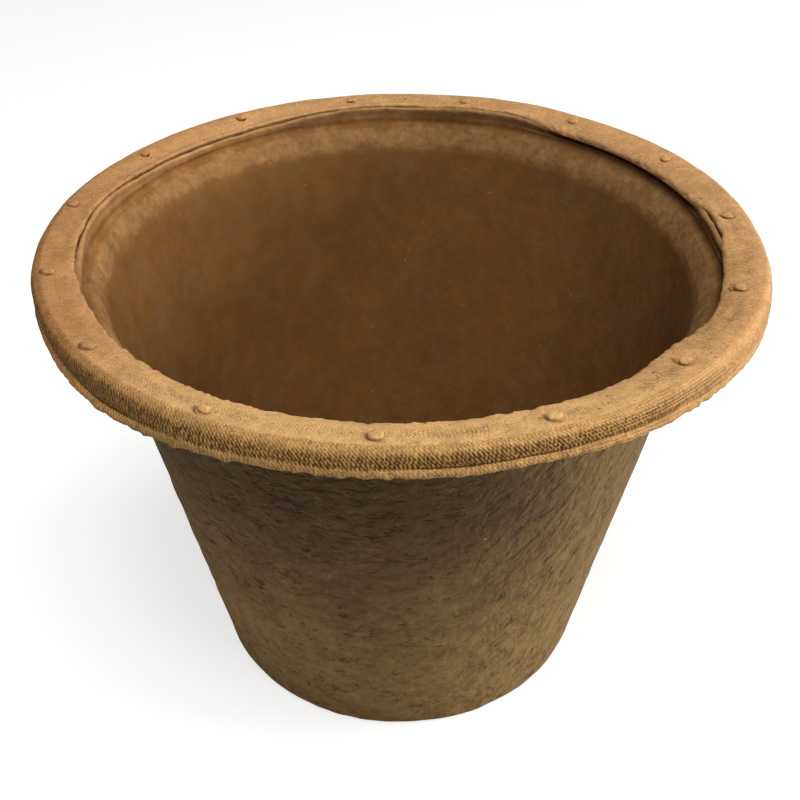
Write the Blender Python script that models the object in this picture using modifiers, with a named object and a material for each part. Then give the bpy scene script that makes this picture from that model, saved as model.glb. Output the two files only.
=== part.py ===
"""Wood fibre pot: tapered wall, floor panel, rolled rim collar and the pips along the rim.

Metres, +Z up. The origin is at the centre of the foot ring, on the surface the pot stands on,
and the front of the pot faces -Y.
"""
import math

import bmesh
import bpy
from mathutils import Matrix

# Wall and foot
POT_HEIGHT = 0.0914         # standing surface to the crest of the rim
FOOT_RADIUS = 0.0384        # outer wall carried down to the standing surface
NECK_RADIUS = 0.0546        # outer wall carried up to the bonding shoulder
WALL = 0.0016               # felted wall, square to its face
FOOT_WIDTH = 0.0060         # ring turned in under the floor
FOOT_THICKNESS = 0.0020
FOOT_ROUND = 0.0011         # outer corner of the foot

# Floor panel
FLOOR_THICKNESS = 0.0020
FLOOR_EDGE_ROUND = 0.0005
DRAIN_RADIUS = 0.0060

# Top of the wall, inside the crease
MOUTH_LIP = 0.00125         # thickness of the lip that stands inside the crease
MOUTH_DROP = 0.0004         # crest of that lip below the crest of the rim
LEDGE_DROP = 0.0042         # crest of the rim down to the stacking ledge
LEDGE_ROUND = 0.0025        # rounded front of the ledge
COVE_DEPTH = 0.0003         # cove set back behind the mouth lip
COVE_HEIGHT = 0.0016
COVE_ROUND = 0.0005
SHOULDER_REACH = 0.0030     # bonding shoulder under the collar, outward from the crease
NECK_FILLET = 0.0035

# Rolled rim collar
RIM_RADIUS = 0.0650         # axis to the deckle edge
RIM_WIDTH = 0.0080          # crease to the deckle edge
RIM_HEIGHT = 0.0038         # crest to the underside of the deckle lip
RIM_THICKNESS = 0.0018
RIM_FALL = 0.0006           # from the crest down to the crease
RIM_EDGE_ROUND = 0.0005     # collar's edge along the crease
ROLL_RADIUS = 0.0017
GROOVE_DEPTH = 0.00025
GROOVE_HEIGHT = 0.0003
LIP_KICK = 0.0007           # deckle lip beyond the skirt
LIP_THICKNESS = 0.0012
UNDER_ROUND = 0.0008        # corner of the channel under the collar

# Pips
PIP_COUNT = 15
PIP_RADIUS = 0.00115
PIP_HEIGHT = 0.00065        # above the rim, and as deep again in its pocket
PIP_INSET = 0.0046          # deckle edge to the ring of pips
PIP_PHASE = math.radians(-2.4)  # first pip, from the front towards +X

CLEARANCE = 0.0003          # between pieces that seat on each other
TURN_STEPS = 72
PIP_SIDES = 10
PIP_RINGS = 6

# Levels and radii that more than one piece uses
COLLAR_BORE = RIM_RADIUS - RIM_WIDTH
COLLAR_UNDER = POT_HEIGHT - RIM_THICKNESS
SHOULDER_TOP = COLLAR_UNDER - CLEARANCE
SHOULDER_UNDER = SHOULDER_TOP - WALL
TAPER = (NECK_RADIUS - FOOT_RADIUS) / SHOULDER_UNDER
SLANT = math.hypot(1.0, TAPER)
TAPER_ANGLE = math.degrees(math.atan(TAPER))
SKIRT_RADIUS = RIM_RADIUS - LIP_KICK
CREST_RADIUS = SKIRT_RADIUS - ROLL_RADIUS

PULP_COLOURS = {
    "pulp_wall": (0.148, 0.094, 0.046),
    "pulp_floor": (0.130, 0.080, 0.037),
    "pulp_rim": (0.330, 0.210, 0.098),
    "pulp_pip": (0.350, 0.225, 0.105),
}
PULP_ROUGHNESS = 0.92


def outer_radius(height):
    """Outer face of the tapered wall at a height."""
    return FOOT_RADIUS + TAPER * height


def inner_radius(height):
    """Inner face of the tapered wall at a height, one wall thickness inside the outer face."""
    return outer_radius(height) - WALL * SLANT


def crown_height(radius):
    """Top of the collar: a parabola that falls from the crest of the roll towards the crease."""
    share = (CREST_RADIUS - radius) / (CREST_RADIUS - COLLAR_BORE)
    return POT_HEIGHT - RIM_FALL * share ** 2


def arc(centre_radius, centre_height, radius, start, end, steps=4):
    """Points of a circular arc in an outline, between two angles in degrees."""
    points = []
    for step in range(steps + 1):
        angle = math.radians(start + (end - start) * step / steps)
        points.append((centre_radius + radius * math.cos(angle), centre_height + radius * math.sin(angle)))
    return points


def pulp(name):
    """Matt material of one finish of the moulded fibre."""
    material = bpy.data.materials.new(name)
    material.use_nodes = True
    shader = material.node_tree.nodes["Principled BSDF"]
    shader.inputs["Base Color"].default_value = (*PULP_COLOURS[name], 1.0)
    shader.inputs["Roughness"].default_value = PULP_ROUGHNESS
    shader.inputs["Metallic"].default_value = 0.0
    return material


def add_part(name, mesh, material, collection, root):
    """Put a mesh into the scene as one named sub-part."""
    mesh.materials.append(material)
    part = bpy.data.objects.new(name, mesh)
    part.parent = root
    collection.objects.link(part)
    return part


def turned(name, outline, material, collection, root):
    """Turn a closed outline of (radius, height) points about the pot's axis."""
    mesh = bpy.data.meshes.new(name)
    last = len(outline)
    edges = [(index, (index + 1) % last) for index in range(last)]
    mesh.from_pydata([(radius, 0.0, height) for radius, height in outline], edges, [])
    part = add_part(name, mesh, material, collection, root)
    screw = part.modifiers.new("Turn", "SCREW")
    screw.axis = "Z"
    screw.angle = math.tau
    screw.steps = TURN_STEPS
    screw.render_steps = TURN_STEPS
    screw.use_merge_vertices = True
    screw.merge_threshold = 0.00001
    screw.use_smooth_shade = True
    return part


def wall_outline():
    """Tapered wall: mouth lip, bonding shoulder, neck, foot ring, stacking ledge and cove."""
    lip_outer = COLLAR_BORE - CLEARANCE
    lip_inner = lip_outer - MOUTH_LIP
    lip_round = MOUTH_LIP / 2
    lip_centre = POT_HEIGHT - MOUTH_DROP - lip_round
    shoulder_end = COLLAR_BORE + SHOULDER_REACH - WALL / 2
    neck_height = SHOULDER_UNDER - NECK_FILLET
    neck_centre = outer_radius(neck_height) + NECK_FILLET * SLANT
    foot_centre = outer_radius(FOOT_ROUND) - FOOT_ROUND * SLANT
    ledge_height = POT_HEIGHT - LEDGE_DROP
    ledge_low = ledge_height - LEDGE_ROUND
    ledge_centre = inner_radius(ledge_low) + LEDGE_ROUND * SLANT
    cove_radius = lip_inner + COVE_DEPTH
    cove_top = ledge_height + COVE_HEIGHT

    outline = arc(lip_outer - lip_round, lip_centre, lip_round, 90, 0, 2)
    outline += [(lip_outer, SHOULDER_TOP)]
    outline += arc(shoulder_end, SHOULDER_TOP - WALL / 2, WALL / 2, 90, -90)
    outline += arc(neck_centre, neck_height, NECK_FILLET, 90, 180 - TAPER_ANGLE)
    outline += arc(foot_centre, FOOT_ROUND, FOOT_ROUND, -TAPER_ANGLE, -90, 3)
    outline += [(FOOT_RADIUS - FOOT_WIDTH, 0.0), (FOOT_RADIUS - FOOT_WIDTH, FOOT_THICKNESS)]
    outline += [(inner_radius(FOOT_THICKNESS), FOOT_THICKNESS)]
    outline += arc(ledge_centre, ledge_low, LEDGE_ROUND, 180 - TAPER_ANGLE, 90)
    outline += arc(cove_radius - COVE_ROUND, ledge_height + COVE_ROUND, COVE_ROUND, -90, 0, 2)
    outline += [(cove_radius, cove_top), (lip_inner, cove_top + COVE_DEPTH)]
    outline += arc(lip_inner + lip_round, lip_centre, lip_round, 180, 90, 2)[:-1]
    return outline


def floor_outline():
    """Flat floor panel that lies on the foot ring inside the wall, round its drain hole."""
    under = FOOT_THICKNESS + CLEARANCE
    top = under + FLOOR_THICKNESS
    edge = inner_radius(under) - CLEARANCE
    centre_height = top - FLOOR_EDGE_ROUND

    outline = arc(edge - FLOOR_EDGE_ROUND, centre_height, FLOOR_EDGE_ROUND, 90, 0, 2)
    outline += [(edge, under), (DRAIN_RADIUS, under)]
    outline += arc(DRAIN_RADIUS + FLOOR_EDGE_ROUND, centre_height, FLOOR_EDGE_ROUND, 180, 90, 2)
    return outline


def collar_outline():
    """Rolled rim: crowned top, roll, skirt, groove, kicked deckle lip and the channel beneath."""
    lip_under = POT_HEIGHT - RIM_HEIGHT
    lip_round = LIP_THICKNESS / 2
    groove_height = lip_under + LIP_THICKNESS + GROOVE_HEIGHT
    roll_height = POT_HEIGHT - ROLL_RADIUS
    roll_end = math.asin(max(groove_height - roll_height, 0.0) / ROLL_RADIUS)
    skirt = CREST_RADIUS + ROLL_RADIUS * math.cos(roll_end)
    channel = SKIRT_RADIUS - RIM_THICKNESS
    edge_top = crown_height(COLLAR_BORE + RIM_EDGE_ROUND)
    crown_steps = 4

    outline = []
    for step in range(crown_steps):
        share = step / crown_steps
        radius = COLLAR_BORE + RIM_EDGE_ROUND + share * (CREST_RADIUS - COLLAR_BORE - RIM_EDGE_ROUND)
        outline.append((radius, crown_height(radius)))
    outline += arc(CREST_RADIUS, roll_height, ROLL_RADIUS, 90, math.degrees(roll_end), 5)
    if groove_height < roll_height:
        outline.append((skirt, groove_height))
    outline.append((skirt - GROOVE_DEPTH, groove_height - GROOVE_HEIGHT / 2))
    outline += arc(RIM_RADIUS - lip_round, lip_under + lip_round, lip_round, 90, -90)
    outline += [(channel, lip_under)]
    outline += arc(channel - UNDER_ROUND, COLLAR_UNDER - UNDER_ROUND, UNDER_ROUND, 0, 90, 2)
    outline += [(COLLAR_BORE, COLLAR_UNDER)]
    outline += arc(COLLAR_BORE + RIM_EDGE_ROUND, edge_top - RIM_EDGE_ROUND, RIM_EDGE_ROUND, 180, 90, 2)[:-1]
    return outline


def bead_mesh(name, radius, half_height):
    """Flattened bead, the form of a pip and, one clearance larger, of its pocket."""
    mesh = bpy.data.meshes.new(name)
    shape = bmesh.new()
    bmesh.ops.create_uvsphere(shape, u_segments=PIP_SIDES, v_segments=PIP_RINGS, radius=1.0)
    bmesh.ops.transform(shape, matrix=Matrix.Diagonal((radius, radius, half_height, 1.0)), verts=shape.verts)
    shape.to_mesh(mesh)
    shape.free()
    mesh.shade_smooth()
    return mesh


def pip_place(index):
    """Centre of one pip, on the top of the rim and evenly spaced round it."""
    angle = PIP_PHASE - math.tau * index / PIP_COUNT
    ring = RIM_RADIUS - PIP_INSET
    return (ring * math.sin(angle), -ring * math.cos(angle), crown_height(ring))


def add_pips(collar, parts, pockets, root):
    """Seat the pips in pockets cut into the top of the collar."""
    material = pulp("pulp_pip")
    pocket_mesh = bead_mesh("pip_pocket", PIP_RADIUS + CLEARANCE, PIP_HEIGHT + CLEARANCE)
    for index in range(PIP_COUNT):
        place = pip_place(index)
        pip_mesh = bead_mesh(f"rim_pip_{index + 1:02d}", PIP_RADIUS, PIP_HEIGHT)
        pip = add_part(pip_mesh.name, pip_mesh, material, parts, root)
        pip.location = place
        pocket = bpy.data.objects.new(f"pip_pocket_{index + 1:02d}", pocket_mesh)
        pocket.location = place
        pocket.hide_render = True
        pocket.display_type = "WIRE"
        pockets.objects.link(pocket)
    cut = collar.modifiers.new("Pip pockets", "BOOLEAN")
    cut.operation = "DIFFERENCE"
    cut.operand_type = "COLLECTION"
    cut.collection = pockets
    cut.solver = "EXACT"


def clear_scene():
    """Start from an empty scene."""
    for thing in list(bpy.data.objects):
        bpy.data.objects.remove(thing, do_unlink=True)


def new_collection(name):
    """Collection linked to the scene."""
    collection = bpy.data.collections.new(name)
    bpy.context.scene.collection.children.link(collection)
    return collection


def main():
    """Build the pot."""
    clear_scene()
    parts = new_collection("wood_fibre_pot")
    pockets = new_collection("pip_pockets")
    root = bpy.data.objects.new("pot_axis", None)
    parts.objects.link(root)
    turned("pot_wall", wall_outline(), pulp("pulp_wall"), parts, root)
    turned("pot_floor", floor_outline(), pulp("pulp_floor"), parts, root)
    collar = turned("rim_collar", collar_outline(), pulp("pulp_rim"), parts, root)
    add_pips(collar, parts, pockets, root)


main()
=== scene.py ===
"""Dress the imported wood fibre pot: felted wall and floor, rolled rim and pips, on a plain stage."""

import math

import bpy
import numpy as np
from bpy.props import FloatProperty, FloatVectorProperty, PointerProperty
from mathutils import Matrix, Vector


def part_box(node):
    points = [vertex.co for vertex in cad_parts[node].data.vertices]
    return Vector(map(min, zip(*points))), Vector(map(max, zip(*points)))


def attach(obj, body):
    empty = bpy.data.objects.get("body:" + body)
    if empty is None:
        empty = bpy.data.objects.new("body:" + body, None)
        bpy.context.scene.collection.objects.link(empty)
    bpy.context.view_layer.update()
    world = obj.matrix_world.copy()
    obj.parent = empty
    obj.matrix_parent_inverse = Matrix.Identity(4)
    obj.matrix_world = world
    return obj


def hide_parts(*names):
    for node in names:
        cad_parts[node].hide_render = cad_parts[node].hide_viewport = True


bl_info = {
    "name": "Wood fibre pot",
    "version": (1, 0, 0),
    "blender": (4, 5, 0),
    "location": "View3D > Sidebar > Fibre pot",
    "description": "Moulded fibre pot with a felted wall, a rolled rim and pips, built on its packed frame",
    "category": "Add Mesh",
}

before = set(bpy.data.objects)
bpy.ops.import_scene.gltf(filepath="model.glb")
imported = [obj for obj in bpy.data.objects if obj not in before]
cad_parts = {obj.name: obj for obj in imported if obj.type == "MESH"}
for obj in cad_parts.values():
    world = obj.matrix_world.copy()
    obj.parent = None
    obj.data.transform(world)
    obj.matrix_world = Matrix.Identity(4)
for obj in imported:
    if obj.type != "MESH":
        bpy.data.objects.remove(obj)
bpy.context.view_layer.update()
BODY = "root"
PIP_NODES = sorted(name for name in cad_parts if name.startswith("rim_pip_"))
MM = 0.001


def node_radii(node):
    """Least and greatest distance of a CAD node's points from the pot's axis."""
    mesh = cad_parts[node].data
    flat = np.empty(len(mesh.vertices) * 3, np.float32)
    mesh.vertices.foreach_get("co", flat)
    places = flat.reshape(-1, 3).astype(float)
    radii = np.hypot(places[:, 0], places[:, 1])
    return float(radii.min()), float(radii.max())


COLLAR_BORE, RIM_RADIUS = node_radii("rim_collar")
FOOT_BORE, SHOULDER_EDGE = node_radii("pot_wall")
DRAIN_RADIUS, FLOOR_EDGE = node_radii("pot_floor")
LIP_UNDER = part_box("rim_collar")[0].z
RIM_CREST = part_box("rim_collar")[1].z
MOUTH_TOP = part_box("pot_wall")[1].z
FLOOR_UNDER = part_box("pot_floor")[0].z
FLOOR_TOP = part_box("pot_floor")[1].z


def number(name, description, default, **settings):
    """Property for a number."""
    return FloatProperty(name=name, description=description, default=default, **settings)


def length(name, description, default):
    """Property for a length in metres."""
    return number(name, description, default, unit="LENGTH", precision=5)


def colour(name, description, default):
    """Property for a linear colour."""
    return FloatVectorProperty(name=name, description=description, default=default, subtype="COLOR",
                               size=3, min=0.0, max=1.0)


class PotShape(bpy.types.PropertyGroup):
    """Sizes of the turned forms. What the frame holds comes from the frame."""

    rim_radius: length("Rim radius", "Axis to the deckle edge", RIM_RADIUS)
    rim_crest: length("Rim crest", "Standing surface to the crest of the rim", RIM_CREST)
    lip_under: length("Lip underside", "Height of the underside of the deckle lip", LIP_UNDER)
    collar_bore: length("Collar bore", "Radius of the collar at the crease", COLLAR_BORE)
    mouth_top: length("Mouth lip crest", "Height of the lip inside the crease", MOUTH_TOP)
    shoulder_edge: length("Shoulder edge", "Radius of the shoulder under the collar", SHOULDER_EDGE)
    foot_bore: length("Foot bore", "Inner radius of the foot ring", FOOT_BORE)
    floor_edge: length("Floor edge", "Radius of the floor panel", FLOOR_EDGE)
    floor_under: length("Floor underside", "Height of the floor's underside", FLOOR_UNDER)
    floor_top: length("Floor top", "Height of the floor's top", FLOOR_TOP)
    drain_radius: length("Drain radius", "Radius of the drain hole", DRAIN_RADIUS)
    foot_radius: length("Foot radius", "Outer wall carried down to the ground", 38.4 * MM)
    neck_radius: length("Neck radius", "Outer wall carried up to the shoulder", 54.6 * MM)
    wall: length("Wall", "Thickness of the felted wall", 1.6 * MM)
    foot_thickness: length("Foot thickness", "Thickness of the foot ring", 2.0 * MM)
    foot_round: length("Foot round", "Outer corner of the foot", 1.6 * MM)
    collar_thickness: length("Collar thickness", "Crest of the rim to its underside", 1.8 * MM)
    seam: length("Seam", "Gap between the pieces", 0.3 * MM)
    mouth_lip: length("Mouth lip", "Thickness of the lip inside the crease", 0.95 * MM)
    cove_depth: length("Cove depth", "Cove set back behind the mouth lip", 0.3 * MM)
    cove_round: length("Cove round", "Rounded bottom of the cove", 1.1 * MM)
    cove_drop: length("Cove drop", "Crest of the rim down to the top of the cove", 2.4 * MM)
    ledge_drop: length("Ledge drop", "Crest of the rim down to the stacking ledge", 4.5 * MM)
    ledge_front: length("Ledge front", "Height of the ledge's sloping front", 3.8 * MM)
    ledge_foot: length("Ledge foot", "Radius of the inside at the foot of the ledge", 52.75 * MM)
    ledge_bend: length("Ledge bend", "Wall below the ledge that its foot rounds off", 1.4 * MM)
    neck_fillet: length("Neck fillet", "Hollow between the wall and the shoulder", 9.0 * MM)
    roll_radius: length("Roll radius", "Rounded outer edge of the rim", 1.7 * MM)
    rim_fall: length("Rim fall", "Crest of the rim down to the crease", 0.6 * MM)
    lip_kick: length("Lip kick", "Deckle lip beyond the skirt", 0.7 * MM)
    lip_thickness: length("Lip thickness", "Thickness of the deckle lip", 1.2 * MM)


class PotRelief(bpy.types.PropertyGroup):
    """Depths of the surface relief."""

    felt_lumps: length("Felt lumps", "Lumps of the outer wall", 0.13 * MM)
    felt_creases: length("Felt creases", "Creases of the outer wall", 0.24 * MM)
    inside_waves: length("Inside waves", "Slow waves of the pressed inside", 0.14 * MM)
    rim_lumps: length("Rim lumps", "Lumps on top of the rim", 0.06 * MM)
    deckle: length("Deckle", "Raggedness of the deckle edge", 0.20 * MM)
    weave_pitch: length("Weave pitch", "Repeat of the woven-wire imprint", 0.64 * MM)
    weave_row: length("Weave row", "Two rows of the imprint, down the skirt", 1.3 * MM)


class PotFinish(bpy.types.PropertyGroup):
    """Colours of the fibre."""

    wall_colour: colour("Wall", "Felted outside of the wall", (0.216, 0.132, 0.045))
    warm_colour: colour("Warm patches", "Reddish patches of the felt", (0.190, 0.098, 0.036))
    inside_colour: colour("Inside", "Pressed inside of the wall", (0.212, 0.091, 0.0222))
    ledge_colour: colour("Ledge", "Mouth lip and stacking ledge", (0.294, 0.151, 0.054))
    rim_colour: colour("Rim", "Rim and pips", (0.590, 0.320, 0.127))
    # Painted shade: the rim darker and redder at the left
    left_shade_colour: colour("Rim left", "Redder left of the rim", (0.520, 0.262, 0.096))
    # Painted light: the rim paler at the front
    front_light_colour: colour("Rim front", "Paler front of the rim", (0.680, 0.405, 0.154))
    # Painted shade: the brown laid on the skirt where it faces out and down, darkest between the threads,
    # and in the imprint's pits on top
    painted_skirt_brown: colour("Skirt ground", "Hollows between the threads of the skirt", (0.128, 0.053, 0.006))
    # The skirt darker and warmer than the top: partly the fibre's colour, partly painted shade
    skirt_tint: colour("Skirt tint", "Share of the rim's colour that the skirt keeps", (0.93, 0.87, 0.76))
    # Dark brown of the painted shade in cracks, folds, pits, the crease and the cove, and of the dark
    # flecks and strands
    shade_and_fleck_colour: colour("Slits", "Creases and slits of the felt", (0.046, 0.024, 0.008))
    shive_colour: colour("Shives", "Pale splinters and fibres", (0.560, 0.430, 0.260))


class PotStage(bpy.types.PropertyGroup):
    """Camera, lamps and floor."""

    camera_back: length("Camera back", "Camera from the axis towards the front", 178.7 * MM)
    camera_height: length("Camera height", "Camera above the floor", 185.8 * MM)
    camera_pitch: number("Pitch", "Camera tilt below the horizon", math.radians(36.75), subtype="ANGLE")
    lens: number("Lens", "Focal length in millimetres", 50.2)
    key_power: number("Key lamp", "Power of the lamp above", 5.4, unit="POWER")
    side_power: number("Side lamp", "Power of the lamp at the right", 6.0, unit="POWER")
    sky: number("Sky", "Strength of the even surrounding light", 0.07)
    floor_colour: colour("Floor", "Plain pale floor", (0.50, 0.50, 0.495))
    floor_glow: number("Floor glow", "White of the floor to the camera", 0.70)
    floor_bounce: colour("Floor bounce", "Floor as the pot's surroundings see it", (0.74, 0.72, 0.69))


# Numpy surfaces

HASH_AXES = np.array([73856093, 19349663, 83492791])
HASH_SEED = 2654435761
HASH_STEP = (1103515245, 12345)
HASH_LAST = 1597334677
HASH_MASK = 0x7FFFFFFF
FACING_UP = 0.5                     # a row faces up or down where its normal rises or falls by more


def lattice_noise(places, cell, seed):
    """Value noise: random numbers from -1 to 1 on a cubic lattice, blended by a quintic in each axis."""
    scaled = places / cell
    base = np.floor(scaled)
    part = scaled - base
    blend = part ** 3 * (part * (part * 6.0 - 15.0) + 10.0)
    total = np.zeros(places.shape[:-1])
    for corner in range(8):
        step = np.array([corner & 1, (corner >> 1) & 1, (corner >> 2) & 1])
        key = np.bitwise_xor.reduce((base.astype(np.int64) + step) * HASH_AXES, axis=-1)
        key = (key ^ (seed * HASH_SEED)) & HASH_MASK
        key = (key * HASH_STEP[0] + HASH_STEP[1]) & HASH_MASK
        key = ((key >> 11) ^ key) * HASH_LAST & HASH_MASK
        value = ((key >> 7) & 0xFFFF) / 32767.5 - 1.0
        weight = np.prod(np.where(step, blend, 1.0 - blend), axis=-1)
        total += weight * value
    return total


def layered_noise(places, cell, seed, layers=3, fade=0.5):
    """Sum of noises, each at half the cell and a faded strength of the one before."""
    total = np.zeros(places.shape[:-1])
    strength = 1.0
    for layer in range(layers):
        total += strength * lattice_noise(places, cell / 2 ** layer, seed + layer)
        strength *= fade
    return total


def smooth_step(low, high, value):
    """Cubic step from 0 at low to 1 at high."""
    share = np.clip((value - low) / (high - low), 0.0, 1.0)
    return share * share * (3.0 - 2.0 * share)


def bell(value, centre, width):
    """Bell of height 1 round a centre."""
    return np.exp(-((value - centre) / width) ** 2)


def angle_gap(angle, centre):
    """Signed distance in degrees round the rim between angles and a centre."""
    return (np.degrees(angle) - centre + 180.0) % 360.0 - 180.0


def angle_bump(angle, centre, width):
    """Bell of height 1 round the rim, width and centre in degrees from the front towards +X."""
    return bell(angle_gap(angle, centre), 0.0, width)


def waves(angle, terms):
    """Sum of sines round the rim: count, phase and depth of each."""
    return sum(depth * np.sin(count * angle + phase) for count, phase, depth in terms)


def bumps(angle, terms):
    """Sum of bells round the rim: centre and width in degrees, and depth of each."""
    return sum(depth * angle_bump(angle, centre, width) for centre, width, depth in terms)


def arc(centre_radius, centre_height, radius, start, end, rows):
    """Rows of (radius, height) along an arc, angles in degrees, without its last point."""
    turn = np.radians(np.linspace(start, end, rows, endpoint=False))
    return np.stack([centre_radius + radius * np.cos(turn), centre_height + radius * np.sin(turn)], axis=-1)


def line(start, end, rows):
    """Rows of (radius, height) along a straight run, without its last point."""
    share = np.linspace(0.0, 1.0, rows, endpoint=False)[:, None]
    return np.asarray(start) * (1.0 - share) + np.asarray(end) * share


def bend(start, corner, end, rows):
    """Rows of (radius, height) along a quadratic curve that rounds a corner, without its last point."""
    share = np.linspace(0.0, 1.0, rows, endpoint=False)[:, None]
    start, corner, end = np.asarray(start), np.asarray(corner), np.asarray(end)
    return (1.0 - share) ** 2 * start + 2.0 * share * (1.0 - share) * corner + share ** 2 * end


def outline_normals(outline):
    """Outward normals of a closed outline that runs down its outer side."""
    along = np.roll(outline, -1, axis=0) - np.roll(outline, 1, axis=0)
    normal = np.stack([-along[:, 1], along[:, 0]], axis=-1)
    return normal / np.linalg.norm(normal, axis=-1, keepdims=True)


def path_lengths(outline):
    """Distance along a closed outline at each row, and back at the first."""
    steps = np.linalg.norm(np.roll(outline, -1, axis=0) - outline, axis=-1)
    return np.concatenate([[0.0], np.cumsum(steps)])


def joined(sections):
    """Closed outline of named sections, one row of (radius, height) for each point."""
    return np.concatenate([points for _, points in sections])


def soften(rows, passes):
    """Column of one number for each row of a closed outline, blurred along the rows."""
    for _ in range(passes):
        rows = (np.roll(rows, 1) + 2.0 * rows + np.roll(rows, -1)) / 4.0
    return rows[:, None]


def by_rows(sections, shares, passes):
    """Blurred column with a share for each row of an outline, from the names of its sections."""
    rows = np.concatenate([np.full(len(points), shares.get(name, 0.0)) for name, points in sections])
    return soften(rows, passes)


def even_turns(columns):
    """Even shares of a turn, and their angles from behind the pot."""
    share = np.arange(columns) / columns
    return share, math.tau * share - math.pi


def turned_points(radius, height, angle):
    """Turned surface: x = r sin a, y = -r cos a, z = h, with a counted from the front towards +X."""
    return np.stack(np.broadcast_arrays(radius * np.sin(angle), -radius * np.cos(angle), height), axis=-1)


def grid_faces(rows, columns, closed):
    """Quads of a grid that closes round its columns, and round its rows too where that is asked."""
    row, column = np.indices((rows if closed else rows - 1, columns))
    below = (row + 1) % rows * columns
    after = (column + 1) % columns
    corners = (row * columns + column, below + column, below + after, row * columns + after)
    return np.stack(corners, axis=-1).reshape(-1, 4)


def ring_mesh(name, points, path, turns):
    """Closed ring mesh from a grid of rows round its section and columns round the axis.

    The UV map holds the share of a turn and the distance along the section in metres.
    """
    rows, columns = points.shape[:2]
    mesh = bpy.data.meshes.new(name)
    mesh.from_pydata(points.reshape(-1, 3), [], grid_faces(rows, columns, True))
    mesh.shade_smooth()
    turns = np.append(turns, turns[0] + 1.0)
    row, column = np.indices((rows, columns))
    corners = ((row, column), (row + 1, column), (row + 1, column + 1), (row, column + 1))
    unrolled = [np.stack([turns[across], path[down]], axis=-1) for down, across in corners]
    vectors = np.stack(unrolled, axis=2).astype(np.float32)
    mesh.uv_layers.new(name="unrolled").uv.foreach_set("vector", vectors.ravel())
    return mesh


def add_attributes(mesh, shape, **fields):
    """Store numbers for each vertex of a grid."""
    for name, values in fields.items():
        spread = np.ascontiguousarray(np.broadcast_to(values, shape), np.float32)
        mesh.attributes.new(name, "FLOAT", "POINT").data.foreach_set("value", spread.ravel())


def place_piece(name, mesh, material, nodes):
    """Put a finished mesh into the scene in place of its CAD nodes."""
    mesh.materials.append(material)
    piece = bpy.data.objects.new(name, mesh)
    bpy.context.scene.collection.objects.link(piece)
    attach(piece, BODY)
    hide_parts(*nodes)
    return piece


# Forms that the rim pieces share; angles are in degrees from the front towards +X

CREASE_ENDS = (148.0, 288.0)        # open crease, from the right back round to the left
CREASE_SOFT = (7.0, 14.0)           # half of the stretch over which it closes at each end
CREASE_SHUT = (173.0, 2.4)          # centre and width of a short stretch that is pressed shut
PEEL = (92.0, 7.0)                  # centre and width of a short strip that has lifted on the right
PEEL_RISE = 1.6                     # height of its bell, which is cut flat at 1
MERGE_START = (52.0, 70.0)          # where the lip and the rim have grown together, on each side
RIM_WAVES = ((5, 0.8, 0.07 * MM), (9, 2.6, 0.06 * MM), (14, 1.1, 0.04 * MM))
RIM_BUMPS = ((-95.0, 32.0, -0.30 * MM), (112.0, 26.0, -0.20 * MM), (66.0, 18.0, 0.50 * MM))
LIFT_WAVES = ((4, 0.3, 0.07 * MM), (7, 1.2, 0.06 * MM), (11, 3.0, 0.04 * MM))
LIFT_BUMPS = ((-140.0, 42.0, -0.60 * MM),)
MOUTH_DIPS = ((-143.0, 18.0, -1.2 * MM), (-120.0, 14.0, -0.7 * MM))


def rim_stray(angle):
    """How far the rim stands outside and above a true circle: bells and waves round it."""
    outward = bumps(angle, RIM_BUMPS) + waves(angle, RIM_WAVES)
    return outward, bumps(angle, LIFT_BUMPS) + waves(angle, LIFT_WAVES)


def crease_opening(angle):
    """1 where the mouth lip stands free inside the crease, at the left and the back, and 0 at the front."""
    back = np.degrees(angle) % 360.0
    (start, end), (start_soft, end_soft) = CREASE_ENDS, CREASE_SOFT
    opened = smooth_step(start - start_soft, start + start_soft, back)
    opened *= 1.0 - smooth_step(end - end_soft, end + end_soft, back)
    return np.clip(opened + PEEL_RISE * angle_bump(angle, *PEEL), 0.0, 1.0)


def lip_merged(angle):
    """1 where the mouth lip has grown together with the rim, at the sides and the right back."""
    side = smooth_step(*MERGE_START, np.abs(angle_gap(angle, 0.0)))
    return side * (1.0 - crease_opening(angle))


# Wall: shares for its sections, then cell, seed, layers and fade of its noises, then depths

WALL_COLUMNS = 440
FELT_ROWS = {"outside": 1.0, "foot round": 0.8, "foot": 0.1, "foot bore": 0.1, "shoulder end": 0.2,
             "shoulder under": 0.2, "neck": 0.2}
LIP_ROWS = {"lip inside": 1.0, "lip": 1.0, "lip outside": 1.0}
INSIDE_ROWS = {"foot top": 0.3, "inside": 1.0, "ledge": 1.0, "cove": 1.0, "cove wall": 1.0, **LIP_ROWS}
PALE_ROWS = {"ledge": 1.0, "cove": 0.28, "cove wall": 0.25, "lip inside": 0.45, "lip": 1.0,
             "lip outside": 1.0}
# Painted shade: the cove under the rim where the lip has grown together with it, and the lip's outer face
# down in the crease
SHADE_ROWS = {"cove": 0.5, "cove wall": 0.72, "lip inside": 0.6, "lip": 0.5}
SLIT_SHADE_ROWS = {"lip outside": 1.0}
RECESS_ROWS = {"cove": 1.0, "cove wall": 1.0}
LUMP_NOISE = (5.0 * MM, 11, 2, 0.7)
CREASE_NOISE = (8.0 * MM, 23, 2, 0.5)
CREASE_PATCHES = (9.0 * MM, 31)
INSIDE_NOISE = (13.0 * MM, 47, 3, 0.45)
LEDGE_NOISE = (3.0 * MM, 51, 2)
LIP_RISE_NOISE = (6.0 * MM, 53)
LIP_FRAY_NOISE = (1.8 * MM, 55, 2, 0.7)
LIP_WANDER_NOISE = (9.0 * MM, 59)
FELT_FLATNESS = np.array([1.0, 1.0, 2.2])
FELT_KEPT = (0.05, 0.45)            # limits of the patches in which the felt is creased
FELT_CREASE = 0.07                  # width of a crease, in the noise that it follows
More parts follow.
